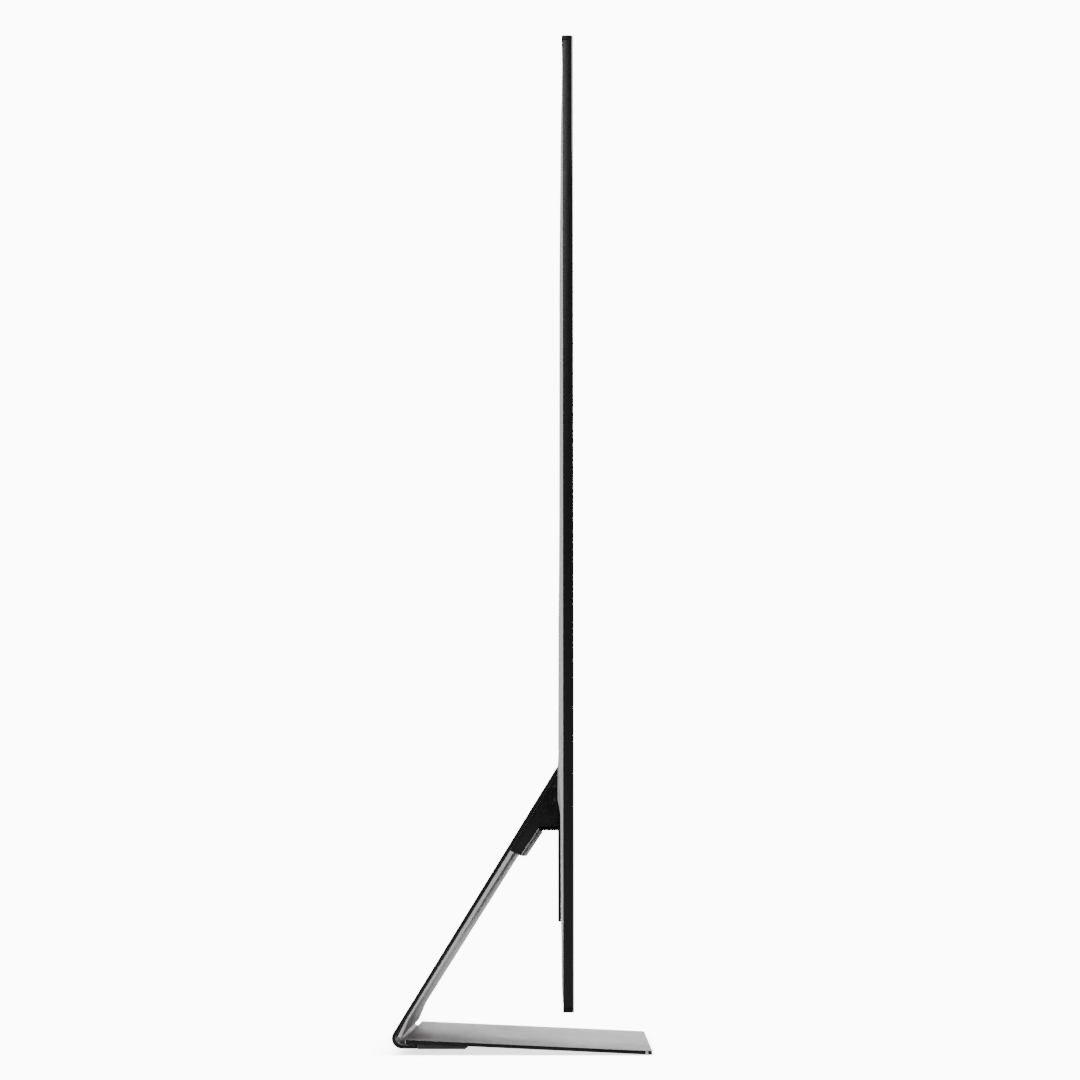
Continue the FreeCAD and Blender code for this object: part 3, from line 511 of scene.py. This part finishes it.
def dust_cloth(name, half_w, z_low, z_high, depth_y):
    """A slightly sagging sheet of cloth held behind a group of slots."""
    shape = bmesh.new()
    grid = []
    for i in range(CLOTH_COLUMNS + 1):
        line = []
        for j in range(CLOTH_ROWS + 1):
            u, v = i / CLOTH_COLUMNS, j / CLOTH_ROWS
            sag = CLOTH_SAG * math.sin(math.pi * u) * math.sin(math.pi * v)
            line.append(shape.verts.new((-half_w + 2 * half_w * u, depth_y - sag,
                                         z_low + (z_high - z_low) * v)))
        grid.append(line)
    for i in range(CLOTH_COLUMNS):
        for j in range(CLOTH_ROWS):
            shape.faces.new((grid[i][j], grid[i + 1][j], grid[i + 1][j + 1], grid[i][j + 1]))
    mesh = bpy.data.meshes.new(name)
    shape.to_mesh(mesh)
    shape.free()
    mesh.materials.append(DUST_CLOTH)
    obj = bpy.data.objects.new(name, mesh)
    bpy.context.collection.objects.link(obj)
    smooth(obj)
    return finish_piece(obj, "moulded_black")


def build_stand():
    finished_plate("leg_plate", leg_finish)
    finished_plate("base_plate", foot_finish)
    for name in ("leg_cover", "neck_trim"):
        cover = bevelled(name, "stand_satin", COVER_ARRIS)
        paint_faces(cover, [MATERIALS["stand_satin"], FRONT_SHEEN_METAL], cover_finish)
    block = bevelled("foot_block", "neck_black", MOULDED_ARRIS, 3)
    paint_faces(block, [MATERIALS["moulded_black"], ARRIS_HIGHLIGHT_MATERIAL], block_finish)
    neck = bevelled("neck_shell", "neck_black", MOULDED_ARRIS, 3)
    paint_faces(neck, [MATERIALS["neck_black"], MATT_BLACK, SEAM_HIGHLIGHT_MATERIAL], neck_finish)
    bevelled("hanger_plate", "frame_black", HANGER_ARRIS)
    bevelled("rear_pads", "rubber_black", PAD_ARRIS)


def build_display():
    bevelled("front_glass", "screen_glass", DISPLAY_ARRIS)
    for rail in ("left_rail", "right_rail", "top_rail", "bottom_rail"):
        bevelled(rail, "frame_black", DISPLAY_ARRIS)
    cloth_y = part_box("rear_cover")[0].y + CLOTH_INSET
    dust_cloth("top_dust_cloth", *TOP_CLOTH, cloth_y)
    dust_cloth("lower_dust_cloth", *LOWER_CLOTH, cloth_y)
    smooth_cad("rear_cover")


# Stage

def shown_to_camera(tree, other, seen, out_kind):
    """Shows the second shader to the camera, and lets every other ray meet the first."""
    path = node(tree, "ShaderNodeLightPath")
    mix = node(tree, "ShaderNodeMixShader")
    tree.links.new(path.outputs["Is Camera Ray"], mix.inputs["Fac"])
    tree.links.new(other, mix.inputs[1])
    tree.links.new(seen, mix.inputs[2])
    out = next(item for item in tree.nodes if item.type == out_kind)
    tree.links.new(mix.outputs["Shader"], out.inputs["Surface"])


def white_floor():
    """White floor that is as bright as the room behind it, with a faint shade where the object stands."""
    material, tree, shader = new_material("floor_white")
    shader.inputs["Base Color"].default_value = (0.90, 0.90, 0.90, 1)
    shader.inputs["Roughness"].default_value = 0.9
    openness = node(tree, "ShaderNodeAmbientOcclusion", samples=8)
    openness.inputs["Distance"].default_value = SHADE_REACH
    glow = node(tree, "ShaderNodeEmission")
    tree.links.new(spread(tree, openness.outputs["AO"], SHADE_GLOW, ROOM_GLOW, 0.1, 0.95),
                   glow.inputs["Strength"])
    shown_to_camera(tree, shader.outputs["BSDF"], glow.outputs["Emission"], "OUTPUT_MATERIAL")
    return material


def build_floor():
    shape = bmesh.new()
    bmesh.ops.create_grid(shape, x_segments=1, y_segments=1, size=FLOOR_HALF_SIZE)
    mesh = bpy.data.meshes.new("floor")
    shape.to_mesh(mesh)
    shape.free()
    mesh.materials.append(white_floor())
    obj = bpy.data.objects.new("floor", mesh)
    bpy.context.collection.objects.link(obj)


def area_light(name, place, target, size, power):
    light = bpy.data.lights.new(name, "AREA")
    light.shape = "RECTANGLE"
    light.size, light.size_y = size
    light.energy = power
    obj = bpy.data.objects.new(name, light)
    bpy.context.collection.objects.link(obj)
    obj.location = place
    obj.visible_camera = False
    obj.rotation_euler = (Vector(target) - Vector(place)).to_track_quat("-Z", "Y").to_euler()


def world_ramp(tree, value, stops):
    """A grey ramp over one part of a direction, from -1 to 1; stops are (place, grey level)."""
    ranged = node(tree, "ShaderNodeMapRange")
    ranged.inputs["From Min"].default_value = -1
    ranged.inputs["From Max"].default_value = 1
    tree.links.new(value, ranged.inputs["Value"])
    ramp = node(tree, "ShaderNodeValToRGB")
    points = ramp.color_ramp.elements
    while len(points) < len(stops):
        points.new(0.5)
    for point, (place, level) in zip(points, stops):
        point.position = place
        point.color = (level, level, level, 1)
    tree.links.new(ranged.outputs["Result"], ramp.inputs["Fac"])
    return ramp.outputs["Color"]


def build_world():
    """A white room for the camera; for everything else soft, brightest on the far side and dark behind
    the camera, most of all high up."""
    world = bpy.data.worlds.new("studio")
    bpy.context.scene.world = world
    world.use_nodes = True
    tree = world.node_tree
    seen = next(item for item in tree.nodes if item.type == "BACKGROUND")
    seen.inputs["Color"].default_value = (1, 1, 1, 1)
    seen.inputs["Strength"].default_value = ROOM_GLOW
    lit = node(tree, "ShaderNodeBackground")
    source = node(tree, "ShaderNodeTexCoord")
    parts = node(tree, "ShaderNodeSeparateXYZ")
    tree.links.new(source.outputs["Generated"], parts.inputs["Vector"])
    bright = world_ramp(tree, parts.outputs["X"], ((0.0, 0.5), (0.4, 0.55), (0.75, 0.62), (1.0, 0.68)))
    dark = world_ramp(tree, parts.outputs["Z"], ((0.0, 0.16), (0.5, 0.16), (0.72, 0.012), (1.0, 0.012)))
    side = world_ramp(tree, parts.outputs["X"], ((0.0, 0.0), (0.14, 0.0), (0.45, 1.0), (1.0, 1.0)))
    blend = node(tree, "ShaderNodeMix", data_type="RGBA")
    tree.links.new(side, blend.inputs["Factor"])
    tree.links.new(dark, blend.inputs["A"])
    tree.links.new(bright, blend.inputs["B"])
    tree.links.new(blend.outputs["Result"], lit.inputs["Color"])
    lit.inputs["Strength"].default_value = WORLD_STRENGTH
    shown_to_camera(tree, lit.outputs["Background"], seen.outputs["Background"], "OUTPUT_WORLD")


def build_lights():
    area_light("key", (-1.2, -2.6, 2.6), (0, 0, 0.3), (2.4, 2.4), 70.0)
    area_light("rim", (0.8, 2.8, 2.2), (0, 0, 0.4), (2.4, 1.8), 45.0)
    area_light("far_side", (3.0, -0.1, 0.14), (0.0, 0.05, 0.12), (0.9, 0.28), 9.0)
    area_light("side_fill", (-1.9, 0.35, 1.5), (0.0, 0.08, 0.03), (0.5, 0.7), 18.0)


def build_camera():
    data = bpy.data.cameras.new("camera")
    data.sensor_width = 36.0
    data.lens = CAMERA_LENS
    data.clip_start, data.clip_end = 0.05, 200.0
    camera = bpy.data.objects.new("camera", data)
    bpy.context.collection.objects.link(camera)
    camera.location = CAMERA_PLACE
    level = math.cos(CAMERA_PITCH)
    ahead = Vector((level * math.cos(CAMERA_YAW), level * math.sin(CAMERA_YAW), math.sin(CAMERA_PITCH)))
    camera.rotation_euler = ahead.to_track_quat("-Z", "Y").to_euler()
    bpy.context.scene.camera = camera


build_camera()
build_world()
build_lights()
build_floor()
dress_cad_nodes()
build_stand()
build_display()

bpy.context.view_layer.update()
